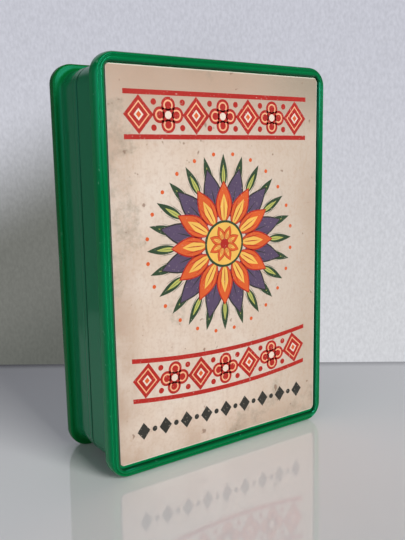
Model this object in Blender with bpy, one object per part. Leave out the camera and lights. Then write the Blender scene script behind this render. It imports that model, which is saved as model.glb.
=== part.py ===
"""A quartet card game: a deck of loose cards in a two-part moulded plastic box.

The box stands on its short side, as it would on a shelf. X runs across the box, Y through its
depth with the labelled lid facing -Y, and Z up its height. The origin is on the surface that the
box stands on, under the middle of the box. All sizes are in metres.

The deck drives the box: the cavity is the deck plus its play, the walls stand round the cavity,
and the rims stand out from the walls.
"""

import math

import bmesh
import bpy

# The cards
CARD_COUNT = 32
CARD_WIDTH = 0.0590
CARD_HEIGHT = 0.0900
CARD_THICKNESS = 0.00045
CARD_AIR_GAP = 0.0001
CARD_CORNER_RADIUS = 0.0040
CARD_SCATTER = 0.0005

# The play round the deck in the closed box
SIDE_PLAY = 0.00155
FOOT_GAP = 0.0003
HEAD_ROOM = 0.0031
REAR_GAP = 0.0003
FRONT_ROOM = 0.0047

# The joint between lid and tray: a lip on the tray slides into the skirt of the lid
SKIRT_THICKNESS = 0.0008
LIP_THICKNESS = 0.0008
LIP_CLEARANCE = 0.0001
LIP_HEIGHT = 0.0040
LIP_END_GAP = 0.0007
LIP_TIP_ROUND = 0.0002
PARTING_GAP = 0.0003
MOUTH_ROUND = 0.0002

# The closed panels of lid and tray, and how the walls run up to them
PANEL = 0.00145
PANEL_RECESS = 0.00095
PANEL_FILLET = 0.0006
WALL_DRAFT = 0.0002

# The rim that stands out round each closed face: from its side a crest, a shallow groove, and an
# inner crest that rolls off to the recess
RIM_OVERHANG = 0.0016
RIM_DEPTH = 0.0036
RIM_CORNER_RADIUS = 0.0052
WALL_CORNER_RADIUS = 0.0050
RECESS_CORNER_RADIUS = 0.00135
CREST_INSET = 0.0007
CREST_DROP = 0.00015
SIDE_ROUND = 0.0018
OUTER_SLOPE = 0.0003
GROOVE_DEPTH = 0.00033
INNER_SLOPE = 0.0005
ROLL_OFF = 0.00095
ROLL_OFF_DEPTH = 0.0005
RIM_BACK_ROUND = 0.0006
COVE_RADIUS = 0.0012

# The printed label glued into the lid's recess
LABEL_THICKNESS = 0.00025
LABEL_GLUE = 0.0001
LABEL_SIDE_GAP = 0.00015
LABEL_HEAD_GAP = 0.00025
LABEL_FOOT_GAP = 0.00075

# How finely round shapes are divided
CORNER_STEPS = 6
ROUND_STEPS = 5
SMALL_ROUND_STEPS = 3
LEAST_CORNER_RADIUS = 0.0003
LEAST_STEP = 0.000002
SMOOTH_ANGLE = math.radians(40)

# What follows from the sizes above
RIM_FACE = CREST_INSET + OUTER_SLOPE + INNER_SLOPE + ROLL_OFF
STACK_DEPTH = CARD_COUNT * CARD_THICKNESS + (CARD_COUNT - 1) * CARD_AIR_GAP
WALL_INSET = RIM_OVERHANG + SKIRT_THICKNESS + LIP_CLEARANCE + LIP_THICKNESS
BOX_WIDTH = CARD_WIDTH + 2 * SIDE_PLAY + 2 * WALL_INSET
BOX_HEIGHT = FOOT_GAP + CARD_HEIGHT + HEAD_ROOM + 2 * WALL_INSET
PANEL_INSIDE = PANEL_RECESS + PANEL
BOX_DEPTH = REAR_GAP + STACK_DEPTH + FRONT_ROOM + 2 * PANEL_INSIDE
HALF_DEPTH = (BOX_DEPTH - PARTING_GAP) / 2
LIP_INSET = WALL_INSET - LIP_THICKNESS
REBATE_INSET = LIP_INSET - LIP_CLEARANCE
REBATE_DEPTH = LIP_HEIGHT - PARTING_GAP + LIP_END_GAP


def clear_scene():
    """Remove whatever the scene holds."""
    for obj in list(bpy.data.objects):
        bpy.data.objects.remove(obj)


def plain_material(name, colour, roughness):
    """A Principled material of one colour."""
    material = bpy.data.materials.new(name)
    material.use_nodes = True
    shader = material.node_tree.nodes["Principled BSDF"]
    shader.inputs["Base Color"].default_value = (*colour, 1.0)
    shader.inputs["Roughness"].default_value = roughness
    shader.inputs["Metallic"].default_value = 0.0
    return material


def round_over(centre, radius, start, end, steps, deep=None):
    """Points of a profile's round, as (inset, depth), from one angle in degrees to another.

    The round is oval where its radius in depth, deep, is given.
    """
    if deep is None:
        deep = radius
    points = []
    for step in range(steps + 1):
        angle = math.radians(start + (end - start) * step / steps)
        inset = centre[0] + radius * math.cos(angle)
        depth = centre[1] + deep * math.sin(angle)
        points.append((inset, depth))
    return points


def wave(start, end, steps):
    """Points of a profile that pass from one depth to another, level at both ends."""
    points = []
    for step in range(steps + 1):
        share = step / steps
        eased = (1 - math.cos(math.pi * share)) / 2
        points.append((start[0] + (end[0] - start[0]) * share, start[1] + (end[1] - start[1]) * eased))
    return points


def rounded_rectangle(width, height, radius):
    """The (x, z) points of an upright rectangle with round corners, anticlockwise."""
    radius = max(LEAST_CORNER_RADIUS, min(radius, width / 2, height / 2))
    points = []
    for quarter in range(4):
        side = 1 if quarter in (0, 3) else -1
        up = 1 if quarter in (0, 1) else -1
        middle_x = side * (width / 2 - radius)
        middle_z = up * (height / 2 - radius)
        for step in range(CORNER_STEPS + 1):
            angle = math.radians(90 * (quarter + step / CORNER_STEPS))
            points.append((middle_x + radius * math.cos(angle), middle_z + radius * math.sin(angle)))
    return points


def solid_from_rings(name, rings):
    """A closed mesh through rings of points, each ring as (outline, depth), capped at both ends.

    The outlines run anticlockwise as seen from the front, so the first cap faces the front.
    """
    shape = bmesh.new()
    loops = []
    for outline, depth in rings:
        loops.append([shape.verts.new((x, depth, z)) for x, z in outline])
    for ring, following in zip(loops, loops[1:]):
        for i in range(len(ring)):
            shape.faces.new((ring[i - 1], following[i - 1], following[i], ring[i]))
    shape.faces.new(loops[0])
    shape.faces.new(reversed(loops[-1]))
    mesh = bpy.data.meshes.new(name)
    shape.to_mesh(mesh)
    shape.free()
    mesh.shade_smooth()
    mesh.set_sharp_from_angle(angle=SMOOTH_ANGLE)
    return mesh


def add_piece(name, mesh, material, parent, location, turn=0.0):
    """Put a named object that shows this mesh into the scene."""
    if material.name not in mesh.materials:
        mesh.materials.append(material)
    piece = bpy.data.objects.new(name, mesh)
    bpy.context.scene.collection.objects.link(piece)
    piece.parent = parent
    piece.location = location
    piece.rotation_euler = (0.0, 0.0, turn)
    return piece


def face_corner(inset):
    """The corner radius on a rim's face, which tightens towards the recess."""
    return RIM_CORNER_RADIUS + (RECESS_CORNER_RADIUS - RIM_CORNER_RADIUS) * inset / RIM_FACE


def back_corner(inset):
    """The corner radius behind a rim, which passes into that of the wall's outside."""
    return RIM_CORNER_RADIUS + (WALL_CORNER_RADIUS - RIM_CORNER_RADIUS) * inset / RIM_OVERHANG


def wall_corner(inset):
    """The corner radius in the walls, which keeps their thickness the same all round."""
    return WALL_CORNER_RADIUS + RIM_OVERHANG - inset


def with_corners(profile, corner):
    """The profile with each point's corner radius: (inset, depth, radius)."""
    return [(inset, depth, corner(inset)) for inset, depth in profile]


def face_profile():
    """From the recessed panel's edge over the inner crest and the groove to the outer crest."""
    inner_crest = (RIM_FACE - ROLL_OFF, 0.0)
    groove = (CREST_INSET + OUTER_SLOPE, GROOVE_DEPTH)
    fall = min(ROLL_OFF_DEPTH, PANEL_RECESS)
    face = [(RIM_FACE, PANEL_RECESS)]
    face += round_over((inner_crest[0], fall), ROLL_OFF, 0, -90, ROUND_STEPS, fall)
    face += wave(inner_crest, groove, ROUND_STEPS)
    return face + wave(groove, (CREST_INSET, CREST_DROP), ROUND_STEPS)


def rim_profile():
    """The rim's face, side and back, and the cove down to the foot of the wall's outside.

    Each round is no larger than the stretch of rim it has to itself.
    """
    wall_foot = RIM_OVERHANG + WALL_DRAFT
    back = min(RIM_BACK_ROUND, wall_foot)
    side = min(SIDE_ROUND, RIM_DEPTH - back - CREST_DROP)
    cove = min(COVE_RADIUS, wall_foot - back)
    face = face_profile()
    face += round_over((CREST_INSET, CREST_DROP + side), CREST_INSET, -90, -180, ROUND_STEPS, side)
    behind = round_over((back, RIM_DEPTH - back), back, 180, 90, SMALL_ROUND_STEPS)
    behind += round_over((wall_foot - cove, RIM_DEPTH + cove), cove, -90, 0, ROUND_STEPS)
    return with_corners(face, face_corner) + with_corners(behind, back_corner)


def mouth_edge_profile():
    """The rounded outer edge of the wall where lid and tray meet."""
    edge = min(MOUTH_ROUND, SKIRT_THICKNESS)
    return round_over((RIM_OVERHANG + edge, HALF_DEPTH - edge), edge, 180, 90, SMALL_ROUND_STEPS)


def panel_foot_profile():
    """The fillet between the wall's inside and the panel's inside."""
    middle = (WALL_INSET + PANEL_FILLET, PANEL_INSIDE + PANEL_FILLET)
    return round_over(middle, PANEL_FILLET, 180, 270, SMALL_ROUND_STEPS)


def lid_profile():
    """The lid's section: rim, wall, mouth, the rebate for the tray's lip, and the inside."""
    shoulder = HALF_DEPTH - REBATE_DEPTH
    rebate = [(REBATE_INSET, HALF_DEPTH), (REBATE_INSET, shoulder), (WALL_INSET, shoulder)]
    inside = mouth_edge_profile() + rebate + panel_foot_profile()
    return rim_profile() + with_corners(inside, wall_corner)


def tray_profile():
    """The tray's section: rim, wall, mouth, the lip that enters the lid, and the inside."""
    tip = HALF_DEPTH + LIP_HEIGHT
    edge = min(LIP_TIP_ROUND, LIP_THICKNESS / 2)
    lip = [(LIP_INSET, HALF_DEPTH)]
    lip += round_over((LIP_INSET + edge, tip - edge), edge, 180, 90, SMALL_ROUND_STEPS)
    lip += round_over((WALL_INSET - edge, tip - edge), edge, 90, 0, SMALL_ROUND_STEPS)
    inside = mouth_edge_profile() + lip + panel_foot_profile()
    return rim_profile() + with_corners(inside, wall_corner)


def without_repeats(profile):
    """The profile with one point, not two, where two rounds meet end to end."""
    kept = profile[:1]
    for point in profile[1:]:
        if math.dist(point[:2], kept[-1][:2]) > LEAST_STEP:
            kept.append(point)
    return kept


def box_half(name, profile):
    """One half of the box: its profile carried round the rounded rectangle of the rim."""
    rings = []
    for inset, depth, radius in without_repeats(profile):
        outline = rounded_rectangle(BOX_WIDTH - 2 * inset, BOX_HEIGHT - 2 * inset, radius)
        rings.append((outline, depth))
    return solid_from_rings(name, rings)


def flat_sheet(name, width, height, thickness, radius):
    """A flat sheet with round corners, its middle at the origin."""
    outline = rounded_rectangle(width, height, radius)
    return solid_from_rings(name, [(outline, -thickness / 2), (outline, thickness / 2)])


def build_box(parent, plastic):
    """The lid in front and the tray behind, mouth to mouth."""
    middle = BOX_HEIGHT / 2
    add_piece("lid", box_half("lid", lid_profile()), plastic, parent, (0.0, -BOX_DEPTH / 2, middle))
    tray = box_half("tray", tray_profile())
    add_piece("tray", tray, plastic, parent, (0.0, BOX_DEPTH / 2, middle), math.pi)


def build_label(parent, paper):
    """The label, glued to the lid's recessed panel inside its rim."""
    width = BOX_WIDTH - 2 * RIM_FACE - 2 * LABEL_SIDE_GAP
    foot = RIM_FACE + LABEL_FOOT_GAP
    height = BOX_HEIGHT - RIM_FACE - LABEL_HEAD_GAP - foot
    radius = RECESS_CORNER_RADIUS - LABEL_SIDE_GAP
    sheet = flat_sheet("lid_label", width, height, LABEL_THICKNESS, radius)
    back_of_label = -BOX_DEPTH / 2 + PANEL_RECESS - LABEL_GLUE
    location = (0.0, back_of_label - LABEL_THICKNESS / 2, foot + height / 2)
    add_piece("lid_label", sheet, paper, parent, location)


def build_deck(parent, board):
    """The loose cards, numbered from the lid to the tray's floor, each a little out of line."""
    sheet = flat_sheet("card", CARD_WIDTH, CARD_HEIGHT, CARD_THICKNESS, CARD_CORNER_RADIUS)
    first = -BOX_DEPTH / 2 + PANEL_INSIDE + FRONT_ROOM + CARD_THICKNESS / 2
    middle = WALL_INSET + FOOT_GAP + CARD_HEIGHT / 2
    golden_angle = math.pi * (3 - math.sqrt(5))
    for index in range(CARD_COUNT):
        aside = CARD_SCATTER * math.sin(index * golden_angle)
        behind = first + index * (CARD_THICKNESS + CARD_AIR_GAP)
        add_piece(f"card_{index + 1:02d}", sheet, board, parent, (aside, behind, middle))


def build_game():
    """The whole object, under one empty at its origin."""
    clear_scene()
    game = bpy.data.objects.new("card_game", None)
    bpy.context.scene.collection.objects.link(game)
    build_box(game, plain_material("green_plastic", (0.0, 0.155, 0.055), 0.28))
    build_label(game, plain_material("label_paper", (0.64, 0.52, 0.40), 0.62))
    build_deck(game, plain_material("card_board", (0.78, 0.72, 0.60), 0.55))


build_game()
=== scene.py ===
"""The finished look of a quartet card game in its moulded box.

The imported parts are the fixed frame. Here both halves of the box get a finer surface, the label
its paper and print, and every card its print. A table, soft light and a camera show them.
All sizes are in metres.
"""

import math

import bmesh
import bpy
from mathutils import Matrix, Vector, noise


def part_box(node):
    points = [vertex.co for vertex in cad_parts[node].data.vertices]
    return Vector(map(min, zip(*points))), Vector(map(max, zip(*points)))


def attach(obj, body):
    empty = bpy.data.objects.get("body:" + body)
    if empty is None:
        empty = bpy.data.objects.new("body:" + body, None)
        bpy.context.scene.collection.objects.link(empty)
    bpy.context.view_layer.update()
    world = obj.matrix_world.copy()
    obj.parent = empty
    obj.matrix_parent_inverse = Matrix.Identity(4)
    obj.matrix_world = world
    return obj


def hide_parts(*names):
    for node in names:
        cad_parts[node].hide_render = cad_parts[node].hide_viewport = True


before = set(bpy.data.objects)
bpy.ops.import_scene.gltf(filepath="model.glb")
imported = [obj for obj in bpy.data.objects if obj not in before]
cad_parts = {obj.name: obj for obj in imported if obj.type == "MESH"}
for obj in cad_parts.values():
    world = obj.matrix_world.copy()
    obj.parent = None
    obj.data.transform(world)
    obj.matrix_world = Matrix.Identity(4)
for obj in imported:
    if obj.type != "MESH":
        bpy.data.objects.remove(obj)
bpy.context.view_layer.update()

MM = 0.001

# The box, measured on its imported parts
LID_LOW, LID_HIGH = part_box("lid")
TRAY_LOW, TRAY_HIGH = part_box("tray")
LABEL_LOW, LABEL_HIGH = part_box("lid_label")
BOX_WIDTH = LID_HIGH.x - LID_LOW.x
BOX_HEIGHT = LID_HIGH.z - LID_LOW.z
BOX_MIDDLE = (LID_LOW.z + LID_HIGH.z) / 2
HALF_DEPTH = LID_HIGH.y - LID_LOW.y
LIP_HEIGHT = TRAY_HIGH.y - TRAY_LOW.y - HALF_DEPTH

# The section of the moulding, as the solids have it
PANEL_RECESS = 0.95 * MM
PANEL_INSIDE = 2.4 * MM
PANEL_FILLET = 0.6 * MM
WALL_DRAFT = 0.2 * MM
WALL_INSET = 3.3 * MM
LIP_INSET = 2.5 * MM
LIP_TIP_ROUND = 0.2 * MM
REBATE_INSET = 2.4 * MM
REBATE_DEPTH = 4.4 * MM
MOUTH_ROUND = 0.2 * MM
RIM_OVERHANG = 1.6 * MM
RIM_DEPTH = 3.6 * MM
RIM_CORNER_RADIUS = 5.2 * MM
WALL_CORNER_RADIUS = 5.0 * MM
RECESS_CORNER_RADIUS = 1.35 * MM
CREST_INSET = 0.7 * MM
CREST_DROP = 0.15 * MM
SIDE_ROUND = 1.8 * MM
OUTER_SLOPE = 0.3 * MM
GROOVE_DEPTH = 0.33 * MM
INNER_SLOPE = 0.5 * MM
ROLL_OFF = 0.95 * MM
ROLL_OFF_DEPTH = 0.5 * MM
RIM_FACE = CREST_INSET + OUTER_SLOPE + INNER_SLOPE + ROLL_OFF
RIM_BACK_ROUND = 0.6 * MM
COVE_RADIUS = 1.2 * MM

# Marks that the moulding left
SINK_FROM_MOUTH = 1.8 * MM
SINK_WIDTH = 1.4 * MM
SINK_DEPTH = 0.04 * MM
PIN_RADIUS = 2.5 * MM
PIN_GROOVE = 0.35 * MM
PIN_HEIGHT = 0.05 * MM
PIN_ACROSS = 20.0 * MM
PIN_UP = 33.0 * MM
GATE_RADIUS = 1.1 * MM
GATE_HEIGHT = 0.12 * MM

# How far grime and painted shade spread from the corner of a recess, and how much of them lies in the rim's
# groove
GRIME_AND_SHADE_REACH = 0.5 * MM
GROOVE_GRIME_AND_SHADE = 0.4

# Where the plastic changes its tone, for the dusty waist with its painted reflection, the lid's flank with
# painted light and the tray's flank with painted shade: the start and end of each change, in Y from the
# parting line
WAIST_FADES = (8.6 * MM, 10.0 * MM)
LID_FLANK_STARTS = (-9.6 * MM, -10.6 * MM)
LID_FLANK_ENDS = (-13.3 * MM, -12.6 * MM)
TRAY_FLANK_STARTS = (8.8 * MM, 10.2 * MM)
TRAY_FLANK_ENDS = (12.6 * MM, 11.4 * MM)

# A knock in the tray's left rim
NICK_PLACE = Vector((TRAY_LOW.x, TRAY_HIGH.y - 2.0 * MM, 51.0 * MM))
NICK_REACH = 1.9 * MM
NICK_DEPTH = 0.30 * MM

# The sheets
LABEL_CORNER_RADIUS = 1.2 * MM
LABEL_EDGE = 0.08 * MM
LABEL_RAGGED = 0.05 * MM
CARD_CORNER_RADIUS = 4.0 * MM
CARD_EDGE = 0.1 * MM
INK_THICKNESS = 0.008 * MM
CARDS_IN_A_SET = 4

# The label's print, from the label's middle
FRIEZE_UP = 36.2 * MM
LOWER_FRIEZE_UP = -28.4 * MM
LOWER_FRIEZE_BOW = 2.0 * MM
FRIEZE_HALF_WIDTH = 27.6 * MM
FRIEZE_HALF_HEIGHT = 5.6 * MM
FRIEZE_RAIL = 1.15 * MM
FRIEZE_UNITS = 7
ROSETTE_UP = 4.6 * MM
ROSETTE_REACH = 22.6 * MM
ROSETTE_LEAVES = 24
BEADS_UP = -39.6 * MM
BEADS_SPREAD = 50.0 * MM
BEADS = 17

# A card's print, from the card's middle
HEADING_UP = 35.5 * MM
PIP_STEP = 9.0 * MM
LINES_UP = -21.0 * MM
LINE_STEP = 5.0 * MM
FLOWER_UP = 7.0 * MM
LATTICE_COLUMNS = 7
LATTICE_ROWS = 11
LATTICE_ACROSS = 7.2 * MM
LATTICE_RISE = 7.4 * MM

# How finely round shapes are divided
CORNER_STEPS = 14
ROUND_STEPS = 8
SMALL_ROUND_STEPS = 4
SIDE_STEP = 1.2 * MM
SMOOTH_ANGLE = math.radians(40)

# The camera, found by laying the solids over the photograph
EYE = Vector((-97.7 * MM, -146.45 * MM, 76.1 * MM))
HEADING = math.radians(34.26)
LOOK_DOWN = math.radians(9.61)
ROLL = math.radians(0.97)
LENS = 43.53
SENSOR = 36.0

# The table, whose far edge crosses the picture behind the box
TABLE_EDGE_AWAY = 62.8 * MM
TABLE_EDGE_HEADING = 36.0
TABLE_EDGE_ROUND = 0.8 * MM
TABLE_EDGE_SHADOW_WIDTH = 7.0 * MM
TABLE_REACH = 4.0
TABLE_POLISHED_TO = 0.22
TABLE_PLAIN_FROM = 0.45
TABLE_DULL_FROM = 0.60
SHADE_SLANT = math.radians(26.0)
TABLE_DROP = 1.5

# The wall's plaster: how fine its grain is along each axis, and its darkest and lightest levels
PLASTER_GRAIN = (290.0, 290.0, 160.0)
PLASTER_LOW = 0.93
PLASTER_HIGH = 1.07


def srgb(red, green, blue):
    """A colour written as screen values from 0 to 255, in the linear values that shaders take."""
    linear = []
    for value in (red, green, blue):
        share = value / 255
        linear.append(share / 12.92 if share < 0.04045 else ((share + 0.055) / 1.055) ** 2.4)
    return (*linear, 1.0)


GREEN = srgb(0, 102, 51)
GREEN_DEEP = srgb(0, 95, 46)
# Grime and painted shade in grooves, at recess edges and in the inside's corners
GREEN_GRIME_AND_SHADE = srgb(6, 40, 18)
GREEN_SCUFFED = srgb(96, 160, 128)
GREEN_DUST_AND_REFLECTION = srgb(27, 115, 77)
GREEN_PAINTED_LIGHT = srgb(0, 120, 66)
GREEN_PAINTED_SHADE = srgb(0, 90, 20)
PAPER = srgb(207, 192, 177)
PAPER_WARM = srgb(200, 180, 161)
PAPER_TAN = srgb(178, 148, 126)
PAPER_BROWN = srgb(166, 139, 117)
PAPER_GREY = srgb(176, 160, 142)
PAPER_WORN_EDGE_AND_HIGHLIGHT = srgb(226, 224, 207)
FOXING = srgb(120, 88, 66)
SMUDGE = srgb(132, 124, 106)
LEFT_EDGE_PAINTED_SHADE = srgb(30, 44, 30)
TABLE_PALE = srgb(237, 237, 236)
TABLE_PALER = srgb(241, 241, 240)
TABLE_FAR = srgb(128, 128, 127)
TABLE_EDGE_SHADOW = srgb(24, 24, 23)
WALL_HIGH = srgb(198, 199, 209)
WALL_LOW = srgb(209, 210, 214)
SHADE_HIGH = srgb(116, 117, 112)
SHADE_LOW = srgb(98, 100, 95)
CARD_WHITE = srgb(232, 224, 206)
CARD_DULL = srgb(214, 202, 180)
INKS = {
    "red": srgb(168, 34, 26),
    "peach": srgb(231, 170, 128),
    "orange": srgb(206, 88, 38),
    "yellow": srgb(226, 178, 84),
    "grass": srgb(176, 178, 92),
    "leaf": srgb(44, 66, 42),
    "purple": srgb(84, 69, 94),
    "slate": srgb(48, 47, 42),
    "cream": srgb(222, 204, 186),
}
INK_NUMBER = {name: number for number, name in enumerate(INKS, start=1)}


class Look:
    """A Principled material, with short ways to add nodes to it."""

    def __init__(self, name):
        self.material = bpy.data.materials.new(name)
        self.material.use_nodes = True
        self.nodes = self.material.node_tree.nodes
        self.links = self.material.node_tree.links
        self.shader = self.nodes["Principled BSDF"]
        self.place = self.nodes.new("ShaderNodeTexCoord").outputs["Object"]

    def feed(self, socket, value):
        """Give a socket a constant, or link a node's output to it."""
        if isinstance(value, bpy.types.NodeSocket):
            self.links.new(value, socket)
        else:
            socket.default_value = value

    def node(self, kind, inputs, output=0, **settings):
        """Add a node and return one of its outputs."""
        made = self.nodes.new(kind)
        for name, value in settings.items():
            setattr(made, name, value)
        for key, value in inputs.items():
            self.feed(made.inputs[key], value)
        return made.outputs[output]

    def paint(self, **sockets):
        """Feed the shader's sockets, named in small letters with _ for a space."""
        for name, value in sockets.items():
            self.feed(self.shader.inputs[name.replace("_", " ").title().replace("Ior", "IOR")], value)

    def stretched(self, x, y, z):
        """The place on the piece, with each axis scaled by itself."""
        return self.node("ShaderNodeMapping", {"Vector": self.place, "Scale": (x, y, z)})

    def along(self, way):
        """How far the place on the piece lies along a direction."""
        inputs = {0: self.place, 1: way}
        return self.node("ShaderNodeVectorMath", inputs, "Value", operation="DOT_PRODUCT")

    def noise(self, scale, detail=3.0, roughness=0.55, place=None):
        """Cloudy noise between 0 and 1, with this many features to the metre."""
        vector = self.place if place is None else place
        inputs = {"Vector": vector, "Scale": scale, "Detail": detail, "Roughness": roughness}
        return self.node("ShaderNodeTexNoise", inputs)

    def span(self, value, low, high, to_low=0.0, to_high=1.0):
        """The value carried from one span to another, with soft ends."""
        inputs = {"Value": value, "From Min": low, "From Max": high, "To Min": to_low, "To Max": to_high}
        return self.node("ShaderNodeMapRange", inputs, interpolation_type="SMOOTHSTEP")

    def sum(self, operation, first, second=0.0):
        """One step of arithmetic."""
        return self.node("ShaderNodeMath", {0: first, 1: second}, operation=operation)

    def mix(self, share, first, second):
        """The first colour, passing into the second as share goes from 0 to 1."""
        return self.node("ShaderNodeMix", {0: share, 6: first, 7: second}, 2, data_type="RGBA")

    def relief(self, height, strength, distance, under=None):
        """A bump of this height, over another one if there is one."""
        inputs = {"Height": height, "Strength": strength, "Distance": distance}
        if under is not None:
            inputs["Normal"] = under
        return self.node("ShaderNodeBump", inputs)


def plastic():
    """Glossy moulded plastic: waves from the mould, scratches, scuffed crests, dust, grime and painted
    shade.

    Its waist is dusty with a painted reflection, the tray's flank is duller and deeper in tone as painted
    shade, and the lid's flank lighter as painted light.
    """
    look = Look("moulded_green_plastic")
    flow = look.noise(30.0, 2.0)
    wear = look.node("ShaderNodeAttribute", {}, "Fac", attribute_name="wear")
    chips = look.span(look.noise(520.0, 6.0, 0.7), 0.60, 0.72)
    scuffs = look.sum("MULTIPLY", wear, chips)
    tone = look.mix(look.span(flow, 0.3, 0.7), GREEN_DEEP, GREEN)
    behind = look.along((0.0, 1.0, 0.0))
    from_mouth = look.sum("ABSOLUTE", behind)
    # The waist is dusty, and paler with a painted reflection of the pale table
    tone = look.mix(look.span(from_mouth, *WAIST_FADES, 0.8, 0.0), tone, GREEN_DUST_AND_REFLECTION)
    # The lid's flank is lighter: painted light
    lid_flank = look.span(behind, *LID_FLANK_STARTS)
    painted_light_flank = look.sum("MULTIPLY", lid_flank, look.span(behind, *LID_FLANK_ENDS, 0.25, 0.9))
    tone = look.mix(painted_light_flank, tone, GREEN_PAINTED_LIGHT)
    # The tray's flank is deeper in tone, a painted shade from the lid's rim, and its plastic duller
    tray_flank = look.span(behind, *TRAY_FLANK_STARTS)
    painted_shade_and_dull = look.sum("MULTIPLY", tray_flank, look.span(behind, *TRAY_FLANK_ENDS))
    tone = look.mix(look.sum("MULTIPLY", painted_shade_and_dull, 0.85), tone, GREEN_PAINTED_SHADE)
    # Grime and painted shade darken the rim's groove, the edge of the recess and the inside's corners
    grime_and_shade = look.node("ShaderNodeAttribute", {}, "Fac", attribute_name="grime_and_shade")
    tone = look.mix(look.span(grime_and_shade, 0.0, 1.0, 0.0, 0.85), tone, GREEN_GRIME_AND_SHADE)
    lines = look.noise(1.0, 2.0, 0.5, look.stretched(60.0, 60.0, 2600.0))
    cross_lines = look.noise(1.0, 2.0, 0.5, look.stretched(2400.0, 160.0, 40.0))
    scratches = look.sum("MAXIMUM", look.span(lines, 0.68, 0.76), look.span(cross_lines, 0.70, 0.78))
    haze = look.span(look.noise(140.0, 4.0), 0.35, 0.75, 0.11, 0.18)
    dull = look.sum("MULTIPLY_ADD", scratches, 0.10)
    look.feed(dull.node.inputs[2], haze)
    dull = look.sum("ADD", dull, look.sum("MULTIPLY", painted_shade_and_dull, 0.3))
    waves = look.relief(look.noise(110.0, 1.0), 0.12, 0.6 * MM)
    look.paint(
        base_color=look.mix(scuffs, tone, GREEN_SCUFFED),
        roughness=look.sum("ADD", dull, scuffs),
        normal=look.relief(scratches, 0.10, 0.02 * MM, waves),
        specular_ior_level=0.45,
        specular_tint=(0.08, 1.0, 0.72, 1.0),
    )
    return look.material


def label_places(look):
    """How far a place on the label is from its nearest edge, and across and up from its middle."""
    parts = look.nodes.new("ShaderNodeSeparateXYZ")
    look.links.new(look.place, parts.inputs[0])
    half_width = (LABEL_HIGH.x - LABEL_LOW.x) / 2
    half_height = (LABEL_HIGH.z - LABEL_LOW.z) / 2
    middle = (LABEL_HIGH.z + LABEL_LOW.z) / 2
    from_side = look.sum("SUBTRACT", half_width, look.sum("ABSOLUTE", parts.outputs["X"]))
    up = look.sum("SUBTRACT", parts.outputs["Z"], middle)
    from_end = look.sum("SUBTRACT", half_height, look.sum("ABSOLUTE", up))
    return look.sum("MINIMUM", from_side, from_end), parts.outputs["X"], up


def aged_paper():
    """The label's paper: mottled, browned at its edges, browner towards its head and greyer to its right,
    smudged, with a few foxing spots.
    """
    look = Look("aged_label_paper")
    edge, across, up = label_places(look)
    cloud = look.span(look.noise(70.0, 5.0, 0.6), 0.3, 0.72)
    fibres = look.noise(1.0, 4.0, 0.6, look.stretched(900.0, 900.0, 300.0))
    near_edge = look.span(edge, 9 * MM, 0.5 * MM)
    browned = look.sum("MULTIPLY", near_edge, look.span(cloud, 0.0, 1.0, 0.25, 0.7))
    # Browner towards the head, greyer towards the right, and darker at the top right corner
    head = look.span(up, 24 * MM, 47 * MM, 0.0, 0.9)
    to_right = look.span(across, 6 * MM, 31 * MM)
    corner = look.sum("MULTIPLY", to_right, look.span(up, 30 * MM, 47 * MM, 0.0, 0.6))
    tone = look.mix(cloud, PAPER, PAPER_WARM)
    tone = look.mix(look.sum("MAXIMUM", browned, head), tone, PAPER_BROWN)
    tone = look.mix(look.span(across, -4 * MM, 31 * MM, 0.0, 0.55), tone, PAPER_GREY)
    tone = look.mix(look.span(fibres, 0.50, 0.72, 0.0, 0.30), tone, PAPER_TAN)
    grain = look.span(look.noise(1400.0, 3.0, 0.6), 0.45, 0.70, 0.0, 0.30)
    tone = look.mix(grain, tone, PAPER_TAN)
    patches = look.span(look.noise(48.0, 2.0), 0.50, 0.66)
    smudges = look.sum("MULTIPLY", patches, look.noise(420.0, 5.0, 0.7))
    tone = look.mix(look.span(smudges, 0.40, 0.66, 0.0, 0.4), tone, SMUDGE)
    tone = look.mix(corner, tone, SMUDGE)
    spots = look.span(look.noise(420.0, 2.0, 0.5), 0.70, 0.76, 0.0, 0.7)
    tone = look.mix(spots, tone, FOXING)
    # A paler worn edge all round the label, with a painted highlight
    tone = look.mix(look.span(edge, 0.35 * MM, 0.05 * MM, 0.0, 0.8), tone, PAPER_WORN_EDGE_AND_HIGHLIGHT)
    # A painted shade along the label's left edge, next to the rim
    from_left = look.sum("SUBTRACT", across, LABEL_LOW.x)
    tone = look.mix(look.span(from_left, 0.28 * MM, 0.04 * MM, 0.0, 0.95), tone, LEFT_EDGE_PAINTED_SHADE)
    look.paint(
        base_color=tone,
        roughness=look.span(cloud, 0.0, 1.0, 0.50, 0.62),
        normal=look.relief(fibres, 0.15, 0.03 * MM),
    )
    return look.material


def card_stock():
    """The cards' board: pale, with a faint cloud and a linen-like grain."""
    look = Look("card_board_stock")
    cloud = look.span(look.noise(60.0, 5.0, 0.6), 0.35, 0.75)
    grain = look.noise(1.0, 3.0, 0.5, look.stretched(1500.0, 300.0, 1500.0))
    look.paint(
        base_color=look.mix(cloud, CARD_WHITE, CARD_DULL),
        roughness=look.span(cloud, 0.0, 1.0, 0.38, 0.52),
        normal=look.relief(grain, 0.12, 0.02 * MM),
    )
    return look.material


def printing_ink(name, colour):
    """Old printing ink: uneven in tone, and thin where the paper's grain shows through."""
    look = Look(f"ink_{name}")
    tone = look.span(look.noise(160.0, 4.0, 0.6), 0.3, 0.7, 0.0, 0.35)
    worn = look.span(look.noise(1900.0, 4.0, 0.65), 0.60, 0.72, 0.0, 0.55)
    darker = (*(0.72 * part for part in colour[:3]), 1.0)
    look.paint(
        base_color=look.mix(worn, look.mix(tone, colour, darker), PAPER),
        roughness=look.span(tone, 0.0, 0.35, 0.50, 0.62),
        specular_ior_level=0.2,
    )
    return look.material


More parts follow.
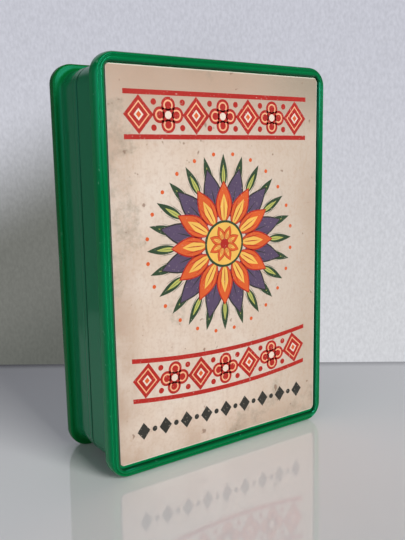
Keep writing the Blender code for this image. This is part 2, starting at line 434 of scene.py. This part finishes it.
def table_top():
    """A pale, polished table top with a painted shadow along its far edge, darker and duller far from the
    box.
    """
    look = Look("pale_table")
    cloud = look.noise(14.0, 3.0)
    away = look.along(aimed(TABLE_EDGE_HEADING, 0))
    aside = look.along(aimed(TABLE_EDGE_HEADING + 90, 0))
    # A painted shadow along the table's far edge, deepest towards the left
    painted_edge_shadow = look.span(away, TABLE_EDGE_AWAY - TABLE_EDGE_SHADOW_WIDTH, TABLE_EDGE_AWAY - TABLE_EDGE_ROUND)
    painted_edge_shadow = look.sum("MULTIPLY", painted_edge_shadow, look.span(aside, -20 * MM, 60 * MM, 0.95, 0.5))
    tone = look.mix(cloud, TABLE_PALE, TABLE_PALER)
    reach = look.node("ShaderNodeVectorMath", {0: look.place}, "Value", operation="LENGTH")
    far = look.span(reach, TABLE_POLISHED_TO, TABLE_DULL_FROM)
    polish = look.span(cloud, 0.3, 0.7, 0.05, 0.07)
    tone = look.mix(far, tone, TABLE_FAR)
    look.paint(
        base_color=look.mix(painted_edge_shadow, tone, TABLE_EDGE_SHADOW),
        roughness=look.sum("MAXIMUM", polish, look.sum("MULTIPLY", far, 0.5)),
        ior=look.span(reach, TABLE_POLISHED_TO, TABLE_PLAIN_FROM, 1.9, 1.4),
    )
    return look.material


def arc(centre, radius, start, end, steps, deep=None):
    """Points of a round in a section, as (inset, depth), between two angles in degrees.

    The round is oval where its radius in depth, deep, is given.
    """
    if deep is None:
        deep = radius
    points = []
    for step in range(steps + 1):
        angle = math.radians(start + (end - start) * step / steps)
        points.append((centre[0] + radius * math.cos(angle), centre[1] + deep * math.sin(angle)))
    return points


def wave(start, end, steps):
    """Points of a section that pass from one depth to another, level at both ends."""
    points = []
    for step in range(steps + 1):
        share = step / steps
        eased = (1 - math.cos(math.pi * share)) / 2
        points.append((start[0] + (end[0] - start[0]) * share, start[1] + (end[1] - start[1]) * eased))
    return points


def rounded_rectangle(width, height, radius, corner_steps=CORNER_STEPS, across=1, upward=1):
    """Points (x, z) of a rectangle with round corners, anticlockwise, its middle at (0, 0).

    across and upward are how many steps the straight sides are divided into.
    """
    corners = []
    for quarter in range(4):
        side = 1 if quarter in (0, 3) else -1
        top = 1 if quarter in (0, 1) else -1
        middle = (side * (width / 2 - radius), top * (height / 2 - radius))
        corners.append(arc(middle, radius, 90 * quarter, 90 * quarter + 90, corner_steps))
    points = []
    for quarter, corner in enumerate(corners):
        points += corner
        start = corner[-1]
        end = corners[(quarter + 1) % 4][0]
        steps = upward if quarter in (1, 3) else across
        for step in range(1, steps):
            share = step / steps
            points.append(tuple(a + (b - a) * share for a, b in zip(start, end)))
    return points


def loft(shape, rings, ink=0, hollow=False):
    """Add a closed solid through rings of points, and return their vertices.

    Each ring runs anticlockwise as seen from the front, and the rings start at the front. The ends
    are capped, but in a hollow solid the last ring joins the first.
    """
    loops = [[shape.verts.new(point) for point in ring] for ring in rings]
    following = loops[1:] + loops[:1] if hollow else loops[1:]
    faces = []
    for ring, other in zip(loops, following):
        for i in range(len(ring)):
            faces.append(shape.faces.new((ring[i - 1], other[i - 1], other[i], ring[i])))
    if not hollow:
        faces.append(shape.faces.new(loops[0]))
        faces.append(shape.faces.new(reversed(loops[-1])))
    for face in faces:
        face.material_index = ink
    return loops


def add_piece(name, shape, materials, body):
    """Turn a finished shape into a piece that rides on a body."""
    mesh = bpy.data.meshes.new(name)
    shape.to_mesh(mesh)
    shape.free()
    for material in materials:
        mesh.materials.append(material)
    mesh.shade_smooth()
    mesh.set_sharp_from_angle(angle=SMOOTH_ANGLE)
    piece = bpy.data.objects.new(name, mesh)
    bpy.context.scene.collection.objects.link(piece)
    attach(piece, body)
    return piece


def face_corner(inset):
    """The corner radius on a rim's face, which tightens towards the recess."""
    return RIM_CORNER_RADIUS + (RECESS_CORNER_RADIUS - RIM_CORNER_RADIUS) * inset / RIM_FACE


def back_corner(inset):
    """The corner radius behind a rim, which passes into that of the wall's outside."""
    return RIM_CORNER_RADIUS + (WALL_CORNER_RADIUS - RIM_CORNER_RADIUS) * inset / RIM_OVERHANG


def wall_corner(inset):
    """The corner radius in the walls, which keeps their thickness the same all round."""
    return WALL_CORNER_RADIUS + RIM_OVERHANG - inset


def aged(points, corner, wear=0.0, grime_and_shade=(0.0, 0.0)):
    """Section points with their corner radius, wear, and grime with painted shade.

    The wear is most in their middle, and the grime with its painted shade passes from its first value to
    its second.
    """
    last = max(1, len(points) - 1)
    section = []
    for number, (inset, depth) in enumerate(points):
        share = number / last
        dirt_and_shade = grime_and_shade[0] + (grime_and_shade[1] - grime_and_shade[0]) * share
        section.append((inset, depth, corner(inset), wear * math.sin(math.pi * share), dirt_and_shade))
    return section


def rim_section():
    """From the recessed panel over the rim's two beads to the foot of the wall's outside."""
    foot = RIM_OVERHANG + WALL_DRAFT
    crest = (CREST_INSET, CREST_DROP)
    groove = (CREST_INSET + OUTER_SLOPE, GROOVE_DEPTH)
    inner_crest = (RIM_FACE - ROLL_OFF, 0.0)
    panel = [(RIM_FACE + GRIME_AND_SHADE_REACH, PANEL_RECESS), (RIM_FACE, PANEL_RECESS)]
    inner = arc((inner_crest[0], ROLL_OFF_DEPTH), ROLL_OFF, 0, -90, ROUND_STEPS, ROLL_OFF_DEPTH)
    side = arc((CREST_INSET, CREST_DROP + SIDE_ROUND), CREST_INSET, -90, -180, 2 * ROUND_STEPS, SIDE_ROUND)
    back = arc((RIM_BACK_ROUND, RIM_DEPTH - RIM_BACK_ROUND), RIM_BACK_ROUND, 180, 90, ROUND_STEPS)
    cove = arc((foot - COVE_RADIUS, RIM_DEPTH + COVE_RADIUS), COVE_RADIUS, -90, 0, ROUND_STEPS)
    section = aged(panel, face_corner, grime_and_shade=(0.0, 0.5))
    section += aged(inner, face_corner, 0.35, (1.3, 0.0))
    section += aged(wave(inner_crest, groove, ROUND_STEPS), face_corner, grime_and_shade=(0.0, GROOVE_GRIME_AND_SHADE))
    section += aged(wave(groove, crest, ROUND_STEPS), face_corner, grime_and_shade=(GROOVE_GRIME_AND_SHADE, 0.0))
    section += aged(side, face_corner, 0.8)
    section += aged(back, back_corner, 0.4)
    return section + aged(cove, back_corner)


def wall_outside(sink):
    """The drafted outside of the wall, with a shallow sink mark near the mouth, and the mouth's edge."""
    start = RIM_DEPTH + COVE_RADIUS
    points = []
    for step in range(-ROUND_STEPS, ROUND_STEPS + 1):
        away = step / ROUND_STEPS
        depth = HALF_DEPTH - SINK_FROM_MOUTH + away * SINK_WIDTH / 2
        draft = WALL_DRAFT * (HALF_DEPTH - depth) / (HALF_DEPTH - start)
        points.append((RIM_OVERHANG + draft + sink * (1 + math.cos(math.pi * away)) / 2, depth))
    edge_middle = (RIM_OVERHANG + MOUTH_ROUND, HALF_DEPTH - MOUTH_ROUND)
    edge = arc(edge_middle, MOUTH_ROUND, 180, 90, SMALL_ROUND_STEPS)
    return aged(points, wall_corner) + aged(edge, wall_corner, 0.3, (0.3, 1.0))


def panel_foot():
    """The fillet between the wall's inside and the panel's inside."""
    middle = (WALL_INSET + PANEL_FILLET, PANEL_INSIDE + PANEL_FILLET)
    return arc(middle, PANEL_FILLET, 180, 270, SMALL_ROUND_STEPS)


def lid_section():
    """The lid: rim, wall, mouth, the rebate for the tray's lip, and the inside."""
    shoulder = HALF_DEPTH - REBATE_DEPTH
    inside = [(REBATE_INSET, HALF_DEPTH), (REBATE_INSET, shoulder), (WALL_INSET, shoulder)]
    return rim_section() + wall_outside(0.0) + aged(inside + panel_foot(), wall_corner, 0.0, (1.0, 0.0))


def tray_section():
    """The tray: rim, wall, mouth, the lip that enters the lid, and the inside."""
    tip = HALF_DEPTH + LIP_HEIGHT
    lip = arc((LIP_INSET + LIP_TIP_ROUND, tip - LIP_TIP_ROUND), LIP_TIP_ROUND, 180, 90, SMALL_ROUND_STEPS)
    lip += arc((WALL_INSET - LIP_TIP_ROUND, tip - LIP_TIP_ROUND), LIP_TIP_ROUND, 90, 0, SMALL_ROUND_STEPS)
    section = rim_section() + wall_outside(SINK_DEPTH)
    section += aged([(LIP_INSET, HALF_DEPTH)], wall_corner, grime_and_shade=(1.0, 1.0))
    section += aged(lip, wall_corner, 0.3)
    return section + aged(panel_foot(), wall_corner)


def without_repeats(section):
    """The section with one point, not two, where two rounds meet end to end."""
    kept = section[:1]
    for point in section[1:]:
        if math.dist(point[:2], kept[-1][:2]) > 0.001 * MM:
            kept.append(point)
    return kept


def knocked(point):
    """The point, pushed towards the box's middle where the rim was knocked."""
    share = (point - NICK_PLACE).length / NICK_REACH
    if share >= 1:
        return point
    return point + Vector((NICK_DEPTH * (1 - share**2) ** 2, 0.0, 0.0))


def box_half(name, section, face, inward, material):
    """One half of the box, its section carried round the rim's rounded rectangle.

    face is where its outer face lies in Y, and inward is 1 for the lid and -1 for the tray.
    """
    shape = bmesh.new()
    wear_layer = shape.verts.layers.float.new("wear")
    grime_and_shade_layer = shape.verts.layers.float.new("grime_and_shade")
    across = round(BOX_WIDTH / SIDE_STEP)
    upward = round(BOX_HEIGHT / SIDE_STEP)
    section = without_repeats(section)
    rings = []
    for inset, depth, radius, *_ in section:
        size = (BOX_WIDTH - 2 * inset, BOX_HEIGHT - 2 * inset)
        outline = rounded_rectangle(*size, radius, across=across, upward=upward)
        ring = [Vector((inward * x, face + inward * depth, z + BOX_MIDDLE)) for x, z in outline]
        rings.append([knocked(point) for point in ring])
    loops = loft(shape, rings)
    for loop, (*_, wear, grime_and_shade) in zip(loops, section):
        for vertex in loop:
            vertex[wear_layer] = wear
            vertex[grime_and_shade_layer] = grime_and_shade
    half = add_piece(f"{name}_shell", shape, [material], name)
    normals = half.modifiers.new("even_normals", "WEIGHTED_NORMAL")
    normals.keep_sharp = True
    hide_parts(name)


def moulding_marks(name, face, inward, material):
    """What the mould left on a half's panel: ejector rings inside, and the gate's stub in the middle."""
    shape = bmesh.new()
    depth = face + inward * PANEL_INSIDE
    high = depth + inward * PIN_HEIGHT
    low, high = min(depth, high), max(depth, high)

    def at(outline, y, x, z):
        return [(x + u, y, z + v) for u, v in outline]

    outer = circle((0, 0), PIN_RADIUS, 48)
    inner = circle((0, 0), PIN_RADIUS - PIN_GROOVE, 48)
    for side in (-1, 1):
        for end in (-1, 1):
            x = side * PIN_ACROSS
            z = BOX_MIDDLE + end * PIN_UP
            walls = ((outer, low), (outer, high), (inner, high), (inner, low))
            loft(shape, [at(outline, y, x, z) for outline, y in walls], hollow=True)
    top = depth + inward * GATE_HEIGHT
    stub = [at(circle((0, 0), GATE_RADIUS, 32), depth, 0, BOX_MIDDLE)]
    stub.append(at(circle((0, 0), 0.8 * GATE_RADIUS, 32), top, 0, BOX_MIDDLE))
    loft(shape, stub if inward > 0 else stub[::-1])
    add_piece(f"{name}_moulding_marks", shape, [material], name)


def circle(centre, radius, steps=24):
    """The outline of a disc."""
    return arc(centre, radius, 0, 360 - 360 / steps, steps - 1)


def lozenge(centre, half_width, half_height):
    """The outline of an upright diamond."""
    u, v = centre
    return [(u + half_width, v), (u, v + half_height), (u - half_width, v), (u, v - half_height)]


def bar(centre, width, height):
    """The outline of a bar with round ends, lying flat."""
    outline = rounded_rectangle(width, height, height / 2.01, 4)
    return [(u + centre[0], v + centre[1]) for u, v in outline]


def leaf(centre, angle, start, end, width, steps=9):
    """The outline of a pointed leaf that lies along a ray, from one distance to another."""
    along = Vector((math.cos(angle), math.sin(angle)))
    beside = Vector((-along.y, along.x))
    right = []
    left = []
    for step in range(1, steps):
        share = step / steps
        spine = Vector(centre) + along * (start + (end - start) * share)
        half = beside * width / 2 * math.sin(math.pi * share**0.85)
        right.append(tuple(spine - half))
        left.append(tuple(spine + half))
    base = tuple(Vector(centre) + along * start)
    tip = tuple(Vector(centre) + along * end)
    return [base, *right, tip, *reversed(left)]


def turned(outline, centre, angle):
    """An outline drawn about (0, 0), turned and then moved to its centre."""
    cos, sin = math.cos(angle), math.sin(angle)
    return [(centre[0] + u * cos - v * sin, centre[1] + u * sin + v * cos) for u, v in outline]


class Press:
    """Prints shapes on one face of a flat sheet, each a thin closed solid of ink."""

    def __init__(self, shape, middle, face, facing):
        self.shape = shape
        self.middle = middle
        self.face = face
        self.facing = facing

    def ring(self, outline, layer):
        """The outline's points at the top of a layer of ink, or on the paper at layer 0."""
        y = self.face + self.facing * layer * INK_THICKNESS
        return [(self.middle[0] + u, y, self.middle[1] + v) for u, v in outline]

    def fill(self, outline, ink, layer=1):
        """Print a filled outline."""
        rings = [self.ring(outline, layer), self.ring(outline, 0)]
        loft(self.shape, rings if self.facing < 0 else rings[::-1], INK_NUMBER[ink])

    def band(self, outer, inner, ink, layer=1):
        """Print the band between two outlines of as many points."""
        front, rear = (layer, 0) if self.facing < 0 else (0, layer)
        walls = ((outer, front), (outer, rear), (inner, rear), (inner, front))
        rings = [self.ring(outline, level) for outline, level in walls]
        loft(self.shape, rings, INK_NUMBER[ink], hollow=True)

    def petals(self, centre, count, reach, width, inks, turn=0.0, layer=1):
        """Print a ring of petals: an outline, a fill, a paler heart and veins, in four inks."""
        edge, body, heart, vein = inks
        start, end = reach
        length = end - start
        for number in range(count):
            angle = turn + 2 * math.pi * number / count
            self.fill(leaf(centre, angle, start, end, width), edge, layer)
            inside = leaf(centre, angle, start + 0.02 * length, end - 0.04 * length, 0.86 * width)
            self.fill(inside, body, layer + 1)
            middle = leaf(centre, angle, start + 0.05 * length, start + 0.7 * length, 0.45 * width)
            self.fill(middle, heart, layer + 2)
            for side in (-1, 0, 1):
                lean = angle + side * 0.28 * width / length
                line = leaf(centre, lean, start + 0.1 * length, start + 0.62 * length, 0.05 * width)
                self.fill(line, vein, layer + 3)


def frieze(press, middle, bow):
    """Print a band of diamonds and four-lobed flowers between two rails, bent by bow at its ends."""
    half_width = FRIEZE_HALF_WIDTH
    half_height = FRIEZE_HALF_HEIGHT

    def height(u):
        return middle + bow * (u / half_width) ** 2

    rail = FRIEZE_RAIL
    steps = 24
    for side in (-1, 1):
        level = side * (half_height - rail / 2)
        walk = [half_width * (2 * step / steps - 1) for step in range(steps + 1)]
        lower = [(u, height(u) + level - rail / 2) for u in walk]
        upper = [(u, height(u) + level + rail / 2) for u in reversed(walk)]
        press.fill(lower + upper, "red")
    pitch = 2 * half_width / FRIEZE_UNITS
    room = half_height - rail
    for number in range(FRIEZE_UNITS):
        u = -half_width + pitch * (number + 0.5)
        lean = math.atan(2 * bow * u / half_width**2)
        centre = (u, height(u))
        if number % 2:
            quatrefoil(press, centre, lean, 0.94 * room)
        else:
            diamond(press, centre, lean, 0.5 * pitch, room)
        if number:
            join = u - pitch / 2
            for side in (-1, 1):
                press.fill(circle((join, height(join) + side * 0.66 * room), 0.75 * MM, 12), "red")


def diamond(press, centre, lean, half_width, half_height):
    """A diamond with a pale inline and a small flower-like heart."""
    def scaled(share):
        return turned(lozenge((0, 0), share * half_width, share * half_height), centre, lean)

    press.fill(scaled(1.0), "red")
    press.band(scaled(0.72), scaled(0.62), "peach", 2)
    press.fill(scaled(0.32), "cream", 2)
    press.fill(scaled(0.18), "orange", 3)


def quatrefoil(press, centre, lean, reach):
    """Four round lobes about a heart, each lobe with a pale ring."""
    lobe = 0.46 * reach
    for quarter in range(4):
        angle = lean + quarter * math.pi / 2
        away = reach - lobe
        spot = (centre[0] + away * math.cos(angle), centre[1] + away * math.sin(angle))
        press.fill(circle(spot, lobe), "red")
        press.band(circle(spot, 0.66 * lobe), circle(spot, 0.46 * lobe), "peach", 2)
    press.fill(circle(centre, 0.42 * reach), "red", 2)
    press.fill(circle(centre, 0.22 * reach, 16), "cream", 3)


def rosette(press, centre):
    """The round flower ornament in the label's middle, ring over ring."""
    leaves = ("leaf", "leaf", "grass", "leaf")
    violet = ("slate", "purple", "purple", "slate")
    flame = ("red", "orange", "yellow", "red")
    press.petals(centre, ROSETTE_LEAVES, (14.0 * MM, ROSETTE_REACH), 2.3 * MM, leaves)
    press.petals(centre, 12, (7.0 * MM, 19.6 * MM), 5.6 * MM, violet, math.pi / 12, 5)
    press.petals(centre, 12, (5.0 * MM, 16.0 * MM), 5.2 * MM, flame, 0.0, 9)
    press.fill(circle(centre, 6.0 * MM, 48), "leaf", 13)
    press.fill(circle(centre, 5.4 * MM, 48), "yellow", 14)
    press.petals(centre, 8, (0.8 * MM, 4.9 * MM), 2.3 * MM, flame, math.pi / 8, 15)
    press.fill(circle(centre, 1.3 * MM), "red", 19)
    for number in range(ROSETTE_LEAVES):
        angle = 2 * math.pi * (number + 0.5) / ROSETTE_LEAVES
        spot = (centre[0] + ROSETTE_REACH * math.cos(angle), centre[1] + ROSETTE_REACH * math.sin(angle))
        press.fill(circle(spot, 0.5 * MM, 12), "orange")


def label_print(press):
    """A traditional ornament in the label's colours: two friezes, a rosette and a dark beaded line."""
    frieze(press, FRIEZE_UP, 0.0)
    rosette(press, (0.0, ROSETTE_UP))
    frieze(press, LOWER_FRIEZE_UP, LOWER_FRIEZE_BOW)
    for number in range(BEADS):
        centre = (BEADS_SPREAD * (number / (BEADS - 1) - 0.5), BEADS_UP)
        if number % 2:
            press.fill(circle(centre, 0.7 * MM, 16), "slate")
        else:
            press.fill(lozenge(centre, 1.8 * MM, 2.2 * MM), "slate")


def sheet_rings(low, high, radius, edge, ragged=0.0):
    """The rings of a flat sheet with slightly rounded, slightly ragged edges, that fills a box."""
    across = round((high.x - low.x) / SIDE_STEP) if ragged else 1
    upward = round((high.z - low.z) / SIDE_STEP) if ragged else 1
    middle = (low + high) / 2
    rings = []
    for inset, y in ((edge, low.y), (0.0, low.y + edge), (0.0, high.y - edge), (edge, high.y)):
        size = (high.x - low.x - 2 * inset, high.z - low.z - 2 * inset)
        ring = []
        for x, z in rounded_rectangle(*size, radius - inset, across=across, upward=upward):
            torn = ragged * abs(noise.noise(Vector((x, 0.0, z)) / (1.7 * MM)))
            share = 1 - torn / max(abs(x), abs(z))
            ring.append((middle.x + x * share, y, middle.z + z * share))
        rings.append(ring)
    return rings


def printed_label(materials):
    """The label: aged paper with its printed ornament."""
    shape = bmesh.new()
    loft(shape, sheet_rings(LABEL_LOW, LABEL_HIGH, LABEL_CORNER_RADIUS, LABEL_EDGE, LABEL_RAGGED))
    middle = (LABEL_LOW + LABEL_HIGH) / 2
    label_print(Press(shape, (middle.x, middle.z), LABEL_LOW.y, -1))
    piece = add_piece("label_sheet", shape, materials, "lid")
    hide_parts("lid_label")


def card_face(press, group, member):
    """A card's face: a frame, a heading of pips, an ornament, and four lines with its own in red."""
    colours = ("red", "orange", "purple", "leaf", "slate", "grass", "yellow", "peach")
    main = colours[group % len(colours)]
    second = colours[(group + 3) % len(colours)]
    outer = rounded_rectangle(54.0 * MM, 85.0 * MM, 2.4 * MM, 5)
    inner = rounded_rectangle(53.2 * MM, 84.2 * MM, 2.0 * MM, 5)
    press.band(outer, inner, main)
    press.fill(bar((0.0, HEADING_UP), 46.0 * MM, 7.0 * MM), main)
    for number in range(CARDS_IN_A_SET):
        pip = (PIP_STEP * (number - (CARDS_IN_A_SET - 1) / 2), HEADING_UP)
        press.fill(circle(pip, 2.0 * MM, 16), "cream", 2)
        if number == member:
            press.fill(circle(pip, 1.2 * MM, 16), "slate", 3)
        ink = "red" if number == member else "slate"
        press.fill(bar((0.0, LINES_UP - LINE_STEP * number), 34.0 * MM, 1.6 * MM), ink)
    centre = (0.0, FLOWER_UP)
    count = 5 + group
    press.petals(centre, count, (4.0 * MM, 19.0 * MM), 80.0 * MM / count, (main, second, "cream", main))
    inside = 6.0 * MM + member * MM
    inks = ("leaf", "yellow", "cream", "red")
    press.petals(centre, 4 + member, (2.0 * MM, inside), 4.0 * MM, inks, 0.0, 5)
    press.fill(circle(centre, 2.4 * MM), main, 9)


def card_back(press):
    """A card's back: a lattice of diamonds inside a frame."""
    outer = rounded_rectangle(55.0 * MM, 86.0 * MM, 2.6 * MM, 5)
    inner = rounded_rectangle(53.0 * MM, 84.0 * MM, 1.8 * MM, 5)
    press.band(outer, inner, "leaf")
    for column in range(LATTICE_COLUMNS):
        for row in range(LATTICE_ROWS):
            u = LATTICE_ACROSS * (column - (LATTICE_COLUMNS - 1) / 2)
            v = LATTICE_RISE * (row - (LATTICE_ROWS - 1) / 2)
            centre = (u, v)
            press.fill(lozenge(centre, 3.2 * MM, 3.3 * MM), "leaf" if (column + row) % 2 else "grass")
            press.fill(lozenge(centre, 1.2 * MM, 1.2 * MM), "cream", 2)


def printed_card(name, number, materials):
    """One card with its face and its back."""
    low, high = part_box(name)
    shape = bmesh.new()
    loft(shape, sheet_rings(low, high, CARD_CORNER_RADIUS, CARD_EDGE))
    middle = (low + high) / 2
    card_face(Press(shape, (middle.x, middle.z), low.y, -1), *divmod(number, CARDS_IN_A_SET))
    card_back(Press(shape, (middle.x, middle.z), high.y, 1))
    piece = add_piece(f"{name}_printed", shape, materials, name)
    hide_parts(name)


def set_table(material):
    """A table top that ends behind the box with a rounded edge, and drops away there."""
    shape = bmesh.new()
    away = aimed(TABLE_EDGE_HEADING, 0)
    along = Vector((away.y, -away.x, 0.0))
    section = [(-TABLE_REACH, 0.0)]
    for inset, depth in arc((TABLE_EDGE_ROUND, TABLE_EDGE_ROUND), TABLE_EDGE_ROUND, -90, -180, ROUND_STEPS):
        section.append((TABLE_EDGE_AWAY - inset, -depth))
    section.append((TABLE_EDGE_AWAY, -TABLE_DROP))
    sides = []
    for side in (-1, 1):
        shift = along * side * TABLE_REACH
        sides.append([shape.verts.new(away * d + shift + Vector((0, 0, h))) for d, h in section])
    left, right = sides
    for i in range(1, len(section)):
        shape.faces.new((left[i - 1], right[i - 1], right[i], left[i]))
    mesh = bpy.data.meshes.new("table")
    shape.to_mesh(mesh)
    shape.free()
    mesh.materials.append(material)
    mesh.shade_smooth()
    mesh.set_sharp_from_angle(angle=SMOOTH_ANGLE)
    table = bpy.data.objects.new("table", mesh)
    bpy.context.scene.collection.objects.link(table)


def aimed(heading, rise):
    """The direction with this heading, clockwise from +Y, and this rise, both in degrees."""
    heading = math.radians(heading)
    rise = math.radians(rise)
    level = math.cos(rise)
    return Vector((level * math.sin(heading), level * math.cos(heading), math.sin(rise)))


def set_backdrop():
    """A pale plastered wall with a shaded side; to all but the camera it is a dim room."""
    world = bpy.data.worlds.new("studio")
    bpy.context.scene.world = world
    world.use_nodes = True
    nodes = world.node_tree.nodes
    links = world.node_tree.links

    def node(kind, inputs, output=0, **settings):
        made = nodes.new(kind)
        for name, value in settings.items():
            setattr(made, name, value)
        for key, value in inputs.items():
            if isinstance(value, bpy.types.NodeSocket):
                links.new(value, made.inputs[key])
            else:
                made.inputs[key].default_value = value
        return made.outputs[output]

    def near(way, low, high, to_low, to_high):
        """A grade that rises towards one direction, between two cosines of the angle to it."""
        cosine = node("ShaderNodeVectorMath", {0: direction, 1: way}, "Value", operation="DOT_PRODUCT")
        ends = {"From Min": low, "From Max": high, "To Min": to_low, "To Max": to_high}
        return node("ShaderNodeMapRange", {"Value": cosine, **ends}, interpolation_type="SMOOTHSTEP")

    def blend(share, first, second):
        """The first colour, passing into the second as share goes from 0 to 1."""
        return node("ShaderNodeMix", {0: share, 6: first, 7: second}, 2, data_type="RGBA")

    direction = nodes.new("ShaderNodeTexCoord").outputs["Generated"]
    slant = Vector((0.0, 0.0, -math.cos(SHADE_SLANT))) + aimed(109, 0) * math.sin(SHADE_SLANT)
    below = near(slant, -0.08, 0.105, 0.0, 1.0)
    beside = near(aimed(300, 0), -0.17, 0.10, 0.0, 1.0)
    shade = node("ShaderNodeMath", {0: below, 1: beside}, operation="MULTIPLY")
    low = near(aimed(0, -90), -0.22, 0.29, 0.0, 1.0)
    lower = near(slant, 0.16, 0.28, 0.0, 1.0)
    light = blend(low, WALL_HIGH, WALL_LOW)
    dark = blend(lower, SHADE_HIGH, SHADE_LOW)
    backdrop = blend(shade, light, dark)
    left = near(aimed(245, -6), 0.35, 0.97, 0.22, 2.3)
    right = near(aimed(80, 0), 0.3, 0.9, 0.0, 0.8)
    sides = node("ShaderNodeMath", {0: left, 1: right}, operation="ADD")
    overhead = near(aimed(0, 90), 0.05, 0.6, 1.0, 0.25)
    around = node("ShaderNodeMath", {0: sides, 1: overhead}, operation="MULTIPLY")
    behind = near(aimed(15, 42), 0.84, 0.96, 0.0, 0.7)
    room = node("ShaderNodeMath", {0: around, 1: behind}, operation="ADD")
    seen = nodes.new("ShaderNodeLightPath").outputs["Is Camera Ray"]
    drawn = node("ShaderNodeMapping", {"Vector": direction, "Scale": PLASTER_GRAIN})
    grain = node("ShaderNodeTexNoise", {"Vector": drawn, "Scale": 1.0, "Detail": 2.0})
    ends = {"From Min": 0.3, "From Max": 0.7, "To Min": PLASTER_LOW, "To Max": PLASTER_HIGH}
    plaster = node("ShaderNodeMapRange", {"Value": grain, **ends})
    level = node("ShaderNodeMix", {0: seen, 2: room, 3: plaster})
    background = nodes["Background"]
    links.new(backdrop, background.inputs["Color"])
    links.new(level, background.inputs["Strength"])


def set_lamp(name, way, distance, width, height, power):
    """A soft box that is aimed at the middle of the box from one direction."""
    data = bpy.data.lights.new(name, "AREA")
    data.shape = "RECTANGLE"
    data.size = width
    data.size_y = height
    data.energy = power
    lamp = bpy.data.objects.new(name, data)
    lamp.location = way * distance + Vector((0.0, 0.0, BOX_MIDDLE))
    lamp.rotation_euler = way.to_track_quat("Z", "Y").to_euler()
    bpy.context.scene.collection.objects.link(lamp)


def set_lights():
    """A soft window in front, a little to the right and above, and a faint lamp on the left."""
    set_lamp("window_light", aimed(171, 24), distance=1.2, width=0.55, height=0.85, power=14.1)
    set_lamp("small_light", aimed(250, 15), distance=1.0, width=0.6, height=0.6, power=0.8)


def set_camera():
    """The camera where the photograph was taken."""
    ahead = Vector((math.sin(HEADING), math.cos(HEADING), 0.0)) * math.cos(LOOK_DOWN)
    ahead.z = -math.sin(LOOK_DOWN)
    level = Vector((math.cos(HEADING), -math.sin(HEADING), 0.0))
    down = ahead.cross(level)
    right = math.cos(ROLL) * level + math.sin(ROLL) * down
    up = math.sin(ROLL) * level - math.cos(ROLL) * down
    data = bpy.data.cameras.new("camera")
    data.sensor_fit = "VERTICAL"
    data.sensor_height = SENSOR
    data.lens = LENS
    data.clip_start = 1 * MM
    camera = bpy.data.objects.new("camera", data)
    camera.matrix_world = Matrix.Translation(EYE) @ Matrix((right, up, -ahead)).transposed().to_4x4()
    bpy.context.scene.collection.objects.link(camera)
    bpy.context.scene.camera = camera


def dress_box():
    """Both halves of the box and what the mould left on them."""
    green = plastic()
    box_half("lid", lid_section(), LID_LOW.y, 1, green)
    box_half("tray", tray_section(), TRAY_HIGH.y, -1, green)
    moulding_marks("lid", LID_LOW.y, 1, green)
    moulding_marks("tray", TRAY_HIGH.y, -1, green)


def dress_paper():
    """The printed label and cards."""
    inks = [printing_ink(name, colour) for name, colour in INKS.items()]
    printed_label([aged_paper(), *inks])
    stock = card_stock()
    cards = sorted(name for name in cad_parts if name.startswith("card_"))
    for number, name in enumerate(cards):
        printed_card(name, number, [stock, *inks])


dress_box()
dress_paper()
set_table(table_top())
set_backdrop()
set_lights()
set_camera()
bpy.context.scene.view_settings.view_transform = "Standard"
